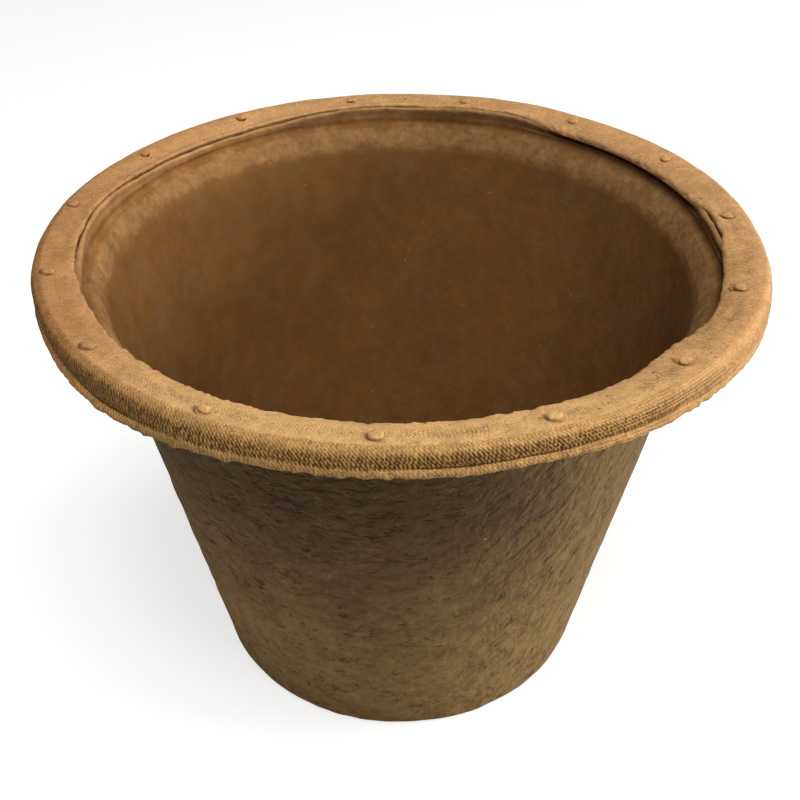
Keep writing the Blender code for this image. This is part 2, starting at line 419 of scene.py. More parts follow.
FELT_CALM = (14.0 * MM, 9.0 * MM)   # felt turns calmer between these drops below the crest
FELT_CALM_SHARE = 0.8
STRAY_DROPS = (16.0 * MM, 2.0 * MM)     # the wall takes up the rim's stray between these drops
LEDGE_PALE = (-1.0 * MM, 1.7 * MM)  # the ledge turns pale between these heights from its foot
LEDGE_LUMPS = 0.07 * MM
LIP_RISE = 0.2 * MM
LIP_FRAY = 0.12 * MM
LIP_WANDER = 0.12 * MM
LIP_CLOSED = (0.8 * MM, 1.75 * MM)  # lip moved out and down where the crease is closed
LIP_GROWN = (1.0 * MM, 1.30 * MM)   # the same where it has grown together with the rim
LIP_PUSHED = ((-97.0, 17.0, 0.45 * MM),)
LIP_BUMPS = ((-88.0, 26.0, 0.12 * MM),)
LIP_TAN = 0.36                      # share of the rim's colour on the free lip
COVE_RECESS = 0.55 * MM             # cove set back where the lip has grown together
PALER_SLIT = ((-110.0, 45.0, 0.65),)        # where the painted shade in the slit outside the lip is weaker


def wall_sections(shape):
    """Sections of the wall's outline, outer side first: name and rows of points."""
    shoulder_top = shape.rim_crest - shape.collar_thickness - shape.seam
    shoulder_low = shoulder_top - shape.wall
    taper = (shape.neck_radius - shape.foot_radius) / shoulder_low
    slant = math.hypot(1.0, taper)
    lean = math.degrees(math.atan(taper))

    def outer(height):
        return shape.foot_radius + taper * height

    half = shape.wall / 2
    neck = shoulder_low - shape.neck_fillet
    neck_centre = outer(neck) + shape.neck_fillet * slant
    neck_low = (neck_centre - shape.neck_fillet / slant, neck + shape.neck_fillet * taper / slant)
    foot_centre = outer(shape.foot_round) - shape.foot_round * slant
    foot_high = (foot_centre + shape.foot_round / slant, shape.foot_round * (1.0 - taper / slant))
    foot_inner = (shape.foot_bore, shape.foot_thickness)
    inside_low = (outer(shape.foot_thickness) - shape.wall * slant, shape.foot_thickness)
    ledge = shape.rim_crest - shape.ledge_drop
    ledge_low = ledge - shape.ledge_front
    below_foot = (shape.ledge_foot - taper * shape.ledge_bend, ledge_low - shape.ledge_bend)
    lip_outer = shape.collar_bore - shape.seam
    lip_inner = lip_outer - shape.mouth_lip
    lip_round = shape.mouth_lip / 2
    lip_centre = shape.mouth_top - lip_round
    cove = lip_inner + shape.cove_depth
    cove_low = ledge + shape.cove_round
    cove_top = shape.rim_crest - shape.cove_drop
    end_centre = shape.shoulder_edge - half
    return [
        ("outside", line(neck_low, foot_high, 110)),
        ("foot round", arc(foot_centre, shape.foot_round, shape.foot_round, -lean, -90.0, 6)),
        ("foot", line((foot_centre, 0.0), (shape.foot_bore, 0.0), 7)),
        ("foot bore", line((shape.foot_bore, 0.0), foot_inner, 3)),
        ("foot top", line(foot_inner, inside_low, 3)),
        ("inside", line(inside_low, below_foot, 36)),
        ("ledge", bend(below_foot, (shape.ledge_foot, ledge_low), (cove - shape.cove_round, ledge), 16)),
        ("cove", arc(cove - shape.cove_round, cove_low, shape.cove_round, -90.0, 0.0, 6)),
        ("cove wall", line((cove, cove_low), (cove, cove_top), 4)),
        ("lip inside", line((cove, cove_top), (lip_inner, lip_centre), 4)),
        ("lip", arc(lip_inner + lip_round, lip_centre, lip_round, 180.0, 0.0, 8)),
        ("lip outside", line((lip_outer, lip_centre), (lip_outer, shoulder_top), 3)),
        ("shoulder", line((lip_outer, shoulder_top), (end_centre, shoulder_top), 4)),
        ("shoulder end", arc(end_centre, shoulder_top - half, half, 90.0, -90.0, 5)),
        ("shoulder under", line((end_centre, shoulder_low), (neck_centre, shoulder_low), 3)),
        ("neck", arc(neck_centre, neck, shape.neck_fillet, 90.0, 180.0 - lean, 8)),
    ]


def felt_relief(places, relief):
    """Felted outside: layered lumps, less narrow valleys where a flat-lying noise crosses zero."""
    lumps = relief.felt_lumps * layered_noise(places, *LUMP_NOISE)
    crossing = layered_noise(places * FELT_FLATNESS, *CREASE_NOISE)
    kept = smooth_step(*FELT_KEPT, lattice_noise(places, *CREASE_PATCHES))
    return lumps - relief.felt_creases * kept * bell(crossing, 0.0, FELT_CREASE)


def make_wall(shape, relief):
    """Wall mesh: the outline turned about the axis, moved along its normals by felt or pressed relief.

    Near the rim it strays as the rim does. The mouth lip is moved out and down where the crease is
    closed or the lip has grown together with the rim, and the cove is set back there.
    """
    sections = wall_sections(shape)
    outline = joined(sections)
    radius, height = outline[:, :1], outline[:, 1:]
    normals = outline_normals(outline)
    turns, angle = even_turns(WALL_COLUMNS)
    places = turned_points(radius, height, angle)
    drop = shape.rim_crest - height
    high = smooth_step(*STRAY_DROPS, drop)
    above_foot = shape.ledge_drop + shape.ledge_front - drop
    felt = by_rows(sections, FELT_ROWS, 3) * (1.0 - FELT_CALM_SHARE * smooth_step(*FELT_CALM, drop))
    inside = by_rows(sections, INSIDE_ROWS, 2)
    lip = by_rows(sections, LIP_ROWS, 2)
    pale = by_rows(sections, PALE_ROWS, 1) * smooth_step(*LEDGE_PALE, above_foot)
    opened = crease_opening(angle)
    merged = lip_merged(angle)
    closed = 1.0 - opened - merged
    outward, lift = rim_stray(angle)

    push = felt * felt_relief(places, relief)
    push = push + inside * relief.inside_waves * layered_noise(places, *INSIDE_NOISE)
    push = push + pale * LEDGE_LUMPS * layered_noise(places, *LEDGE_NOISE)
    shift = LIP_CLOSED[0] * closed + LIP_GROWN[0] * merged + bumps(angle, LIP_PUSHED)
    shift = shift - LIP_WANDER * lattice_noise(places, *LIP_WANDER_NOISE)
    raised = bumps(angle, MOUTH_DIPS + LIP_BUMPS) + LIP_RISE * lattice_noise(places, *LIP_RISE_NOISE)
    raised = raised + LIP_FRAY * layered_noise(places, *LIP_FRAY_NOISE)
    raised = raised - LIP_CLOSED[1] * closed - LIP_GROWN[1] * merged
    radius = radius + normals[:, :1] * push + high * outward + lip * shift
    radius = radius + COVE_RECESS * by_rows(sections, RECESS_ROWS, 3) * merged
    height = np.maximum(height + normals[:, 1:] * push + high * lift + lip * raised, 0.0)

    mesh = ring_mesh("pulp_wall", turned_points(radius, height, angle), path_lengths(outline), turns)
    # Painted shade in the crease outside the lip and in the cove under the grown-together rim
    slit = by_rows(sections, SLIT_SHADE_ROWS, 1) * (1.0 - bumps(angle, PALER_SLIT))
    dark = np.maximum(slit, by_rows(sections, SHADE_ROWS, 8) * merged)
    add_attributes(mesh, places.shape[:-1], inside=inside, pale=pale * (1.0 - lip * merged), dark_line=dark,
                   lip=LIP_TAN * lip * opened)
    return mesh


# Floor

FLOOR_COLUMNS = 240
FLOOR_SOFT = 0.5 * MM               # rounding of its edges
FLOOR_CLEAR = 4.0 * MM              # width of the edge over which its relief fades
FLOOR_NOISE = (9.0 * MM, 61, 3)
FLOOR_FELT = 0.8                    # share of the wall's felt relief on its underside


def make_floor(shape, relief):
    """Floor mesh: a flat ring round the drain hole with rounded edges, waves on top and felt beneath."""
    top = shape.floor_top - FLOOR_SOFT
    low = shape.floor_under + FLOOR_SOFT
    hole = shape.drain_radius + FLOOR_SOFT
    edge = shape.floor_edge - FLOOR_SOFT
    sections = [
        line((hole, shape.floor_top), (edge, shape.floor_top), 40),
        arc(edge, top, FLOOR_SOFT, 90.0, 0.0, 4),
        arc(edge, low, FLOOR_SOFT, 0.0, -90.0, 4),
        line((edge, shape.floor_under), (hole, shape.floor_under), 40),
        arc(hole, low, FLOOR_SOFT, 270.0, 180.0, 4),
        arc(hole, top, FLOOR_SOFT, 180.0, 90.0, 4),
    ]
    outline = np.concatenate(sections)
    radius, height = outline[:, :1], outline[:, 1:]
    normals = outline_normals(outline)
    turns, angle = even_turns(FLOOR_COLUMNS)
    places = turned_points(radius, height, angle)
    under = soften((normals[:, 1] < -FACING_UP).astype(float), 2)
    clear = smooth_step(shape.floor_edge, shape.floor_edge - FLOOR_CLEAR, radius)
    push = clear * (1.0 - under) * relief.inside_waves * layered_noise(places, *FLOOR_NOISE)
    push = push + clear * under * FLOOR_FELT * felt_relief(places, relief)
    points = turned_points(radius + normals[:, :1] * push, height + normals[:, 1:] * push, angle)
    mesh = ring_mesh("pulp_floor", points, path_lengths(outline), turns)
    add_attributes(mesh, places.shape[:-1], inside=1.0 - under)
    return mesh


# Rim collar: angles in degrees, then cell, seed, layers and fade of its noises, then depths

SECTOR_COLUMNS = 66                 # columns for each pip
SECTOR_CROWD = 0.60                 # how far they crowd round the pip
BROAD_ROWS = 5                      # rows of the roll before the curve that fills the groove, and of the
                                    # lip edge within it
WORN_RIGHT = (22.0, 56.0)           # where the imprint wears off towards the right
WORN_LEFT = (-80.0, -115.0)         # and towards the left back
PLAIN_START = (34.0, 52.0)          # where the groove fills up at the right
PLAIN_END = (105.0, 80.0)           # and where it opens again
PLAIN_FRONT = (-18.0, 0.85)         # centre and share of the filled stretch at the front left
PLAIN_FRONT_ENDS = (11.0, 23.0)     # half of that stretch
SIDE_CENTRE = 95.0                  # middle of the narrower sides
SIDE_ENDS = (12.0, 40.0)            # half of those sides
CALM_ENDS = (35.0, 60.0)            # where the deckle turns smoother on each side
EDGE_BUMPS = ((47.0, 6.0, 0.9 * MM), (61.0, 7.0, -0.5 * MM), (8.0, 10.0, 0.25 * MM),
              (-38.0, 14.0, -0.3 * MM))
DROOP_BUMPS = ((-40.0, 16.0, -2.2 * MM), (47.0, 16.0, -1.0 * MM), (0.0, 22.0, -0.35 * MM))
WIDE_CREASE = ((-135.0, 30.0, 0.42 * MM),)  # where the crease gapes
PALER_CREASE = ((-95.0, 25.0, 0.7),)        # where its painted shade is weaker
INNER_BAND = (70.0, 24.0)           # centre and width of the marks along the mouth
RIM_NOISE = (5.0 * MM, 71, 3, 0.5)
RIPPLE_NOISE = (7.0 * MM, 73)
DECKLE_NOISE = (1.6 * MM, 79, 2, 0.8)
EDGE_NOISE = (1.0 * MM, 81, 2, 0.9)
GAP_NOISE = (4.0 * MM, 83)
LIP_NOISE = (12.0 * MM, 89)
DROOP_NOISE = (9.0 * MM, 97, 2)
EDGE_ROUND = 0.8 * MM               # rounded edge at the crease
CHANNEL_ROUND = 0.8 * MM            # rounded corner under the roll
GROOVE_TOP = 0.35 * MM              # start of the groove, above the deckle lip
GROOVE_DEPTH = 0.25 * MM
GROOVE_FLOOR = 0.1 * MM             # bottom of the groove, above the deckle lip
RIPPLE_PITCH = 0.8 * MM
RIPPLE_WANDER = 2.5
RIPPLE_DEPTH = 0.05 * MM
DECKLE_CALM = 0.65                  # share that the deckle loses at the sides and the back
EDGE_FRAY = 0.19 * MM
TUCK_WIDTH = 2.6 * MM               # strip along the mouth that the crease moves
TUCK_IN = 0.75 * MM                 # how far it is drawn in where the crease is closed
TUCK_LIFT = 0.40 * MM               # how far it is lifted where the crease is open
TUCK_FALL = 0.35 * MM               # and lowered where it is closed
GAP_LEAST = 0.08 * MM
GAP_WANDER = 0.14 * MM
GAP_SHUT = 0.25 * MM                # how far the crease is pressed shut
DIP_ENDS = (3.0 * MM, 1.0 * MM)     # dips of the mouth, from the rim's edge and from the crease
DROOP_WANDER = 0.15 * MM
LIP_WAVER = 0.15 * MM
SIDE_NARROW = 1.1 * MM              # how far the deckle lip is drawn in at the sides
SKIRT_SHADE_LEAN = (0.90, 0.50)          # rise of the normal at which the skirt's painted shade starts and is full
SKIRT_SHADE_EDGE = 0.54                  # share of the painted shade on the deckle edge
SKIRT_SHADE_WORN = 0.52                  # share of the painted shade that fades where the imprint wears off
SKIRT_EDGE = 0.55                   # share of the imprint on the deckle edge
SKIRT_WORN = 0.85                   # share of it that wears off
CREASE_DARK = (0.65 * MM, 1.0 * MM)         # painted shade in the crease, between these drops below the crest
CRESCENT_NEAR = (35.0 * MM, -10.0 * MM)     # the crescents of painted shadow come in between these places from the back
PIP_BAND = (0.3 * MM, 1.3 * MM)     # rough band inside the ring of pips: how far, and its width
MOUTH_BAND = (1.2 * MM, 0.9 * MM)   # rough band outside the crease: how far, and its width
BAND_LEVEL = 0.3                    # least rise of the normal in the rough bands
PIP_SHIFT = (-0.75 * MM, 0.2 * MM)  # ring of pips, off the axis
POCKET_SIDE = (-0.6, -0.8)          # direction in which a pip's pocket is deepest
POCKET_LEAST = 0.1 * MM             # distance within which that direction fades out
POCKET_DEPTH = (0.18 * MM, 0.24 * MM)       # its depth, and how much that changes with the direction
POCKET_RING = (1.18 * MM, 0.27 * MM)        # its radius and width
CRESCENT_RING = (1.30 * MM, 0.30 * MM)      # radius and width of its crescent of painted shadow
CRESCENT_SIDE = (-0.2, 0.5)         # part of the ring over which the crescent comes in
SEAT_ENDS = (0.75 * MM, 1.0 * MM)   # the seat sunk under a pip ends between these radii
SEAT_DEPTH = 0.4 * MM


def pip_places():
    """Centres of the pips: their CAD nodes' boxes, with the ring moved a little off the axis."""
    corners = [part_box(node) for node in PIP_NODES]
    centres = np.array([[(low[axis] + high[axis]) / 2 for axis in range(3)] for low, high in corners])
    return centres + np.array([*PIP_SHIFT, 0.0])


def collar_angles(pips):
    """Column angles from behind the first pip, crowded half-way through each sector.

    The count of pips is odd, so that is where the pips stand.
    """
    first = math.atan2(pips[0][0], -pips[0][1])
    sector = math.tau / len(pips)
    step = np.arange(SECTOR_COLUMNS * len(pips)) / SECTOR_COLUMNS
    crowded = step + SECTOR_CROWD * np.sin(math.tau * step) / math.tau
    return first - math.pi + sector * crowded


def collar_sections(shape):
    """Sections of the rim's outline, from the crease over the top: name and rows of points."""
    skirt = shape.rim_radius - shape.lip_kick
    crest = skirt - shape.roll_radius
    roll = shape.rim_crest - shape.roll_radius
    lip_round = shape.lip_thickness / 2
    lip_end = shape.rim_radius - lip_round
    lip_top = shape.lip_under + shape.lip_thickness
    under = shape.rim_crest - shape.collar_thickness
    channel = skirt - shape.collar_thickness
    corner = (channel - CHANNEL_ROUND, under - CHANNEL_ROUND)
    edge = shape.collar_bore + EDGE_ROUND
    share = np.linspace(0.0, 1.0, 32, endpoint=False)
    top_radius = edge + share * (crest - edge)
    inward = (crest - top_radius) / (crest - shape.collar_bore)
    top_height = shape.rim_crest - shape.rim_fall * inward ** 2
    edge_low = top_height[0] - EDGE_ROUND
    skirt_low = (skirt, lip_top + GROOVE_TOP)
    groove = (skirt - GROOVE_DEPTH, lip_top + GROOVE_FLOOR)
    return [
        ("top", np.stack([top_radius, top_height], axis=-1)),
        ("roll", arc(crest, roll, shape.roll_radius, 90.0, 0.0, 16)),
        ("skirt", line((skirt, roll), skirt_low, 4)),
        ("groove", line(skirt_low, groove, 3)),
        ("lip top", line(groove, (lip_end, lip_top), 4)),
        ("lip edge", arc(lip_end, shape.lip_under + lip_round, lip_round, 90.0, -90.0, 10)),
        ("lip under", line((lip_end, shape.lip_under), (channel, shape.lip_under), 5)),
        ("channel", line((channel, shape.lip_under), (channel, corner[1]), 4)),
        ("channel corner", arc(*corner, CHANNEL_ROUND, 0.0, 90.0, 4)),
        ("under", line((corner[0], under), (shape.collar_bore, under), 8)),
        ("crease face", line((shape.collar_bore, under), (shape.collar_bore, edge_low), 3)),
        ("crease edge", arc(edge, edge_low, EDGE_ROUND, 180.0, 90.0, 4)),
    ]


def broad_roll(sections):
    """Rim outline with its groove filled: one curve from the roll down to the lip edge.

    Also gives the share of that curve at each row, and 1 for the rows before its end.
    """
    outline = joined(sections)
    names = [name for name, _ in sections]
    first_rows = np.cumsum([0] + [len(points) for _, points in sections])
    start = first_rows[names.index("roll")] + BROAD_ROWS
    end = first_rows[names.index("lip edge")] + BROAD_ROWS
    normal = outline_normals(outline)[start]
    fall = (outline[end, 0] - outline[start, 0]) * normal[0] / normal[1]
    corner = (outline[end, 0], outline[start, 1] - fall)
    outline[start:end] = bend(outline[start], corner, outline[end], end - start)
    row = np.arange(len(outline))
    share = np.clip((row - start) / (end - start), 0.0, 1.0)
    return outline, share[:, None], (row < end)[:, None]


def pip_pockets(places, pips):
    """Ring sunk round each pip, deepest at the front left, and its crescent of painted shadow: bells of the
    distance.
    """
    sunk = np.zeros(places.shape[:-1])
    shade = np.zeros(places.shape[:-1])
    for centre in pips:
        away = places - centre
        distance = np.hypot(away[..., 0], away[..., 1])
        side = away[..., :2] @ np.array(POCKET_SIDE) / np.maximum(distance, POCKET_LEAST)
        sunk += (POCKET_DEPTH[0] + POCKET_DEPTH[1] * side) * bell(distance, *POCKET_RING)
        sunk += SEAT_DEPTH * (1.0 - smooth_step(*SEAT_ENDS, distance))
        # painted shadow on the front left side of each pip
        shade += smooth_step(*CRESCENT_SIDE, side) * bell(distance, *CRESCENT_RING)
    return sunk, shade


def make_collar(shape, relief):
    """Rim mesh: the rolled outline turned about the axis, with waves, crease, ripples, pockets and deckle.

    Where the groove is filled, the outline is blended with one broad curve. Next to the crease the edge
    is drawn inwards, and lifted or lowered.
    """
    pips = pip_places()
    sections = collar_sections(shape)
    outline = joined(sections)
    flat_radius, flat_height = outline[:, :1], outline[:, 1:]
    normals = outline_normals(outline)
    facing_up = normals[:, 1:] > FACING_UP
    path = path_lengths(outline)
    angle = collar_angles(pips)
    degrees = angle_gap(angle, 0.0)
    places = turned_points(flat_radius, flat_height, angle)

    def rows(*names):
        return by_rows(sections, dict.fromkeys(names, 1.0), 2)

    outward, lift = rim_stray(angle)
    opened = crease_opening(angle)
    shut = angle_bump(angle, *CREASE_SHUT)
    worn = smooth_step(*WORN_RIGHT, degrees) + smooth_step(*WORN_LEFT, degrees)
    side = 1.0 - smooth_step(*SIDE_ENDS, np.abs(np.abs(degrees) - SIDE_CENTRE))
    front, front_share = PLAIN_FRONT
    off_front = smooth_step(*PLAIN_FRONT_ENDS, np.abs(angle_gap(angle, front)))
    plain = smooth_step(*PLAIN_START, degrees) * smooth_step(*PLAIN_END, degrees)
    plain = plain + front_share - front_share * off_front

    top = rows("top", "roll", "skirt", "crease edge")
    push = top * relief.rim_lumps * layered_noise(places, *RIM_NOISE)
    phase = math.tau * path[:-1, None] / RIPPLE_PITCH + RIPPLE_WANDER * lattice_noise(places, *RIPPLE_NOISE)
    push = push + RIPPLE_DEPTH * rows("skirt", "groove", "lip top") * np.sin(phase) * (1.0 - worn)
    sunk, crescent_shadow = pip_pockets(turned_points(flat_radius + outward, flat_height + lift, angle), pips)
    push = push - top * facing_up * sunk
    ragged = 1.0 - DECKLE_CALM * smooth_step(*CALM_ENDS, np.abs(degrees))
    push = push + rows("lip edge") * relief.deckle * ragged * layered_noise(places, *DECKLE_NOISE)
    push = push + rows("crease edge") * EDGE_FRAY * layered_noise(places, *EDGE_NOISE)

    from_bore = flat_radius - shape.collar_bore
    tuck = smooth_step(TUCK_WIDTH, 0.0, from_bore)
    wide = GAP_LEAST + bumps(angle, WIDE_CREASE) + GAP_WANDER * lattice_noise(places, *GAP_NOISE)
    gap = opened * (1.0 - shut) * wide - GAP_SHUT * shut
    inward = tuck * ((1.0 - opened) * TUCK_IN + bumps(angle, EDGE_BUMPS) - gap)
    broad, broad_share, above_edge = broad_roll(sections)
    lip = rows("groove", "lip top", "lip edge", "lip under")
    lip = lip + plain * above_edge * (broad_share - lip)
    droop = bumps(angle, DROOP_BUMPS) + DROOP_WANDER * layered_noise(places, *DROOP_NOISE)
    dip = smooth_step(shape.rim_radius - DIP_ENDS[0], shape.collar_bore + DIP_ENDS[1], flat_radius)
    radius = flat_radius + plain * (broad - outline)[:, :1] + normals[:, :1] * push + outward - inward
    radius = radius + lip * (LIP_WAVER * lattice_noise(places, *LIP_NOISE) - SIDE_NARROW * side)
    height = flat_height + plain * (broad - outline)[:, 1:] + normals[:, 1:] * push + lift + lip * droop
    height = height + tuck * (TUCK_LIFT * opened - TUCK_FALL * (1.0 - opened) * tuck)
    height = height + dip * bumps(angle, MOUTH_DIPS)

    turns = (angle - angle[0]) / math.tau
    mesh = ring_mesh("pulp_collar", turned_points(radius, height, angle), path, turns)
    skirt = rows("roll", "skirt", "groove", "lip top")
    # Painted shade on the skirt, by how far its normal turns from upright, and on the deckle edge
    upright = normals[:, 1:] + plain * (outline_normals(broad) - normals)[:, 1:]
    hollow = np.maximum(smooth_step(*SKIRT_SHADE_LEAN, upright) * skirt, SKIRT_SHADE_EDGE * rows("lip edge"))
    # Painted shade down the crease face and edge where the crease is open
    dark = smooth_step(*CREASE_DARK, shape.rim_crest - flat_height) * rows("crease face", "crease edge")
    dark = dark * opened ** 3 * (1.0 - shut) * (1.0 - bumps(angle, PALER_CREASE))
    near = smooth_step(*CRESCENT_NEAR, places[..., 1])
    from_pips = np.hypot(pips[:, 0], pips[:, 1]).mean() - flat_radius
    mouth_band = bell(from_bore, *MOUTH_BAND) * angle_bump(angle, *INNER_BAND)
    band = np.maximum(bell(from_pips, *PIP_BAND), mouth_band)
    # The crease's painted shade and the pips' crescents of painted shadow are stored together
    add_attributes(mesh, places.shape[:-1],
                   skirt=(skirt + SKIRT_EDGE * rows("lip edge")) * (1.0 - SKIRT_WORN * worn),
                   hollow=hollow * (1.0 - SKIRT_SHADE_WORN * worn),
                   dark_line=np.maximum(dark, crescent_shadow * near * facing_up),
                   band=band * (normals[:, 1:] > BAND_LEVEL))
    return mesh


# Pips

PIP_ROWS = 14
PIP_COLUMNS = 28
PIP_RADIUS = 0.98 * MM
PIP_HALF = 0.44 * MM                # half of its height
PIP_OVAL = (1.12, 0.92)             # stretch along the rim and across it
PIP_SINK = 0.06 * MM                # how far it sits below its CAD node
PIP_NOISE = (0.7 * MM, 101)
PIP_UNEVEN = 0.20                   # share by which the noise moves its surface in and out
PIP_APART = 7.0 * MM                # step in the noise from one pip to the next
PIP_POWERS = (0.75, 0.8)            # powers that fill out its sine and its cosine


def make_pip(index, centre):
    """Pip mesh: a flattened bead, r = sin t and h = cos t, both to a power, made oval, uneven by noise."""
    angle = math.atan2(centre[0], -centre[1])
    tilt = np.linspace(0.0, math.pi, PIP_ROWS + 2)[1:-1][:, None]
    turn = math.tau * np.arange(PIP_COLUMNS) / PIP_COLUMNS
    wide = PIP_RADIUS * np.sin(tilt) ** PIP_POWERS[0]
    flat = PIP_HALF * np.sign(np.cos(tilt)) * np.abs(np.cos(tilt)) ** PIP_POWERS[1]
    ring = np.broadcast_arrays(PIP_OVAL[0] * wide * np.cos(turn), PIP_OVAL[1] * wide * np.sin(turn), flat)
    poles = np.array([[0.0, 0.0, PIP_HALF], [0.0, 0.0, -PIP_HALF]])
    bead = np.concatenate([np.stack(ring, axis=-1).reshape(-1, 3), poles])
    bead = bead * (1.0 + PIP_UNEVEN * lattice_noise(bead + index * PIP_APART, *PIP_NOISE)[:, None])
    cosine, sine = math.cos(angle), math.sin(angle)
    spun = np.stack([bead[:, 0] * cosine - bead[:, 1] * sine, bead[:, 0] * sine + bead[:, 1] * cosine,
                     bead[:, 2]], axis=-1)
    spun = spun + centre + np.array([0.0, 0.0, rim_stray(np.array(angle))[1] - PIP_SINK])

    ends = np.arange(PIP_COLUMNS)
    next_end = (ends + 1) % PIP_COLUMNS
    pole = PIP_ROWS * PIP_COLUMNS
    last = pole - PIP_COLUMNS
    upper = np.stack([ends, next_end, np.full_like(ends, pole)], axis=-1)
    lower = np.stack([last + next_end, last + ends, np.full_like(ends, pole + 1)], axis=-1)
    sides = grid_faces(PIP_ROWS, PIP_COLUMNS, False)
    mesh = bpy.data.meshes.new(f"pulp_pip_{index + 1:02d}")
    mesh.from_pydata(spun, [], sides.tolist() + upper.tolist() + lower.tolist())
    mesh.shade_smooth()
    return mesh


# Materials: noises, by cell, detail and roughness

FUZZ = (0.9 * MM, 6.0, 0.68)
SWELL = (2.8 * MM, 3.0, 0.5)
MOTTLE = (1.5 * MM, 5.0, 0.62)
WARMTH = (7.0 * MM, 4.0, 0.6)
FINE_GRAIN = (0.45 * MM, 4.0, 0.75)
ROUGH_PATCHES = (7.0 * MM, 3.0)
IMPRINT_GAPS = (1.5 * MM, 3.0)
THREAD_WANDER = (1.7 * MM, 3.0, 0.6)
THREAD_BREAKS = (0.55 * MM, 2.0)

# Soft patches, by cell, least and greatest number, detail and roughness

LEDGE_EDGE = (2.2 * MM, -0.36, 0.36, 5.0, 0.7)
LEDGE_DRIFT = (8.0 * MM, -0.32, 0.32, 2.0)
LEDGE_FLECKS = (1.7 * MM, 0.80, 1.20, 5.0, 0.7)
FELT_CLOUDS = (15.0 * MM, 0.90, 1.08)
INSIDE_CLOUDS = (3.6 * MM, 0.89, 1.11, 5.0, 0.68)
RIM_CLOUDS = (6.0 * MM, 0.90, 1.08, 4.0, 0.6)
RIM_SPECKLE = (1.7 * MM, 0.88, 1.10, 4.0, 0.65)
SKIRT_SHADE_CLOUDS = (1.3 * MM, 0.76, 1.20, 4.0, 0.7)

# Thin lines, by cell, width and the limits of the patches that keep them

# the cracks and folds are darkened with painted shade
LEVEL_CRACKS = ((4.6 * MM, 0.030, 0.55, 0.64), (2.1 * MM, 0.036, 0.60, 0.68))
SLANT_CRACKS = ((4.4 * MM, 0.028, 0.56, 0.66), (2.2 * MM, 0.034, 0.63, 0.72))
FOLDS = (5.5 * MM, 0.10, 0.36, 0.52)
HAIRS = (5.0 * MM, 0.012, 0.56, 0.62)
STRANDS = (2.6 * MM, 0.020, 0.50, 0.60)

# Specks, by cell, size, chance and flatness

FELT_PITS = (2.0 * MM, 0.15, 0.16)
FELT_SHIVES = ((4.0 * MM, 0.09, 0.14), (6.0 * MM, 0.10, 0.2, 5.0))
RIM_FLECKS = ((1.5 * MM, 0.17, 0.16), (2.4 * MM, 0.16, 0.16, 0.5))
RIM_SHIVES = (2.2 * MM, 0.13, 0.20)
PIP_FLECKS = (0.9 * MM, 0.20, 0.12)

# Steps, by start and end, and the numbers there where they are not 0 and 1

PALE_EDGE = (0.0, 0.15)
PALE_TURN = (0.05, 0.95)
WARM_TURN = (0.46, 0.66, 0.0, 0.60)
MOTTLE_TURN = (0.25, 0.75, 0.80, 1.20)
# Painted shade on the outside towards the rim and painted light lower down, stronger at the left; then
# painted light at the left of the outside and of the inside
SHADOW_FALL_LEFT = (15.0 * MM, 77.0 * MM, 1.29, 0.48)
SHADOW_FALL_RIGHT = (15.0 * MM, 77.0 * MM, 1.11, 0.92)
SHADOW_FALL_TURN = (10.0 * MM, 42.0 * MM)
LEFT_LIGHT = (-8.0 * MM, -36.0 * MM, 1.0, 1.25)
INSIDE_LIGHT = (-15.0 * MM, -45.0 * MM, 1.0, 1.14)
SLANT_TURN = (2.0 * MM, 22.0 * MM)
FELT_ROUGHNESS = (0.2, 0.8, 0.82, 0.97)
RIM_ROUGHNESS = (0.2, 0.8, 0.80, 0.95)
# Painted shade at the left of the rim, darker and redder, and painted light at its front
LEFT_TAN = (-25.0 * MM, -58.0 * MM)
LEFT_SHADE = (-14.0 * MM, -42.0 * MM, 1.0, 0.94)
FRONT_TAN = (-32.0 * MM, -60.0 * MM)
GRAIN_TURN = (0.28, 0.72, 0.78, 1.20)
PLAIN_ROWS = (12.0 * MM, 42.0 * MM, 0.0, 0.6)
PLAIN_SKIRT = (0.1, 0.3)
PATCH_TURN = (0.36, 0.58, 0.20, 1.0)
PATCH_LEFT = (-12.0 * MM, 14.0 * MM, 0.60, 1.0)
PATCH_BACK = (25.0 * MM, 0.0, 0.12, 1.0)
GAPS_TURN = (0.25, 0.65, 0.25, 1.0)
SKIRT_SHADE_TURN = (0.80, 0.25)
PIT_TURN = (0.72, 0.28)

# Shares and depths

PATCH_LIMITS = (0.3, 0.7)           # limits of the noise between which soft patches turn
SPECK_SHIFT = 0.5                   # waves of the noise that moves specks about, for each cell
SPECK_CORE = 0.35                   # solid share of a speck
LINE_CURL = 0.3
LINE_CORE = 0.15                    # solid share of a thin line
LINE_PATCH = 0.55                   # size of the patches that keep a line, in its cells
SQUAT = (0.62, 0.62, 1.0)           # stretch of the level cracks
SLANT = (2.2, 45.0, 52.0)           # stretch of the slanted cracks, their turn and tilt in degrees
TALL = (1.0, 1.0, 0.8)              # stretch of the fuzz
MATT_GLOSS = 0.22
LEDGE_FUZZ = 0.30                   # share of the outside's fuzz on the ledge
INSIDE_BUMP = 0.15                  # share of the outside's bump on the inside
FELT_BUMP = 0.95 * MM
RIM_BUMP = 0.19 * MM
PIP_BUMP = 0.20 * MM
SKIRT_SHADE_SHARES = (0.36, 0.96)        # painted shade on the threads and between them
PIT_SHARES = (0.62, 0.42)           # painted shade in the imprint's pits, on top and on the skirt
FUZZ_HEIGHT = 0.55
SWELL_HEIGHT = 1.1
FELT_MIDDLE = 0.80                  # middle height of the felt, taken off before the inside is flattened
CRACK_DEPTH = 0.55
FOLD_DEPTH = 0.35
GRAIN_HEIGHT = 0.6
FLECK_DEPTH = 0.5
THREAD_SLANT = 0.9                  # threads passed in two rows of the imprint
THREAD_BEND = (1.1, 2.2)            # wander of the threads, down the skirt and along it
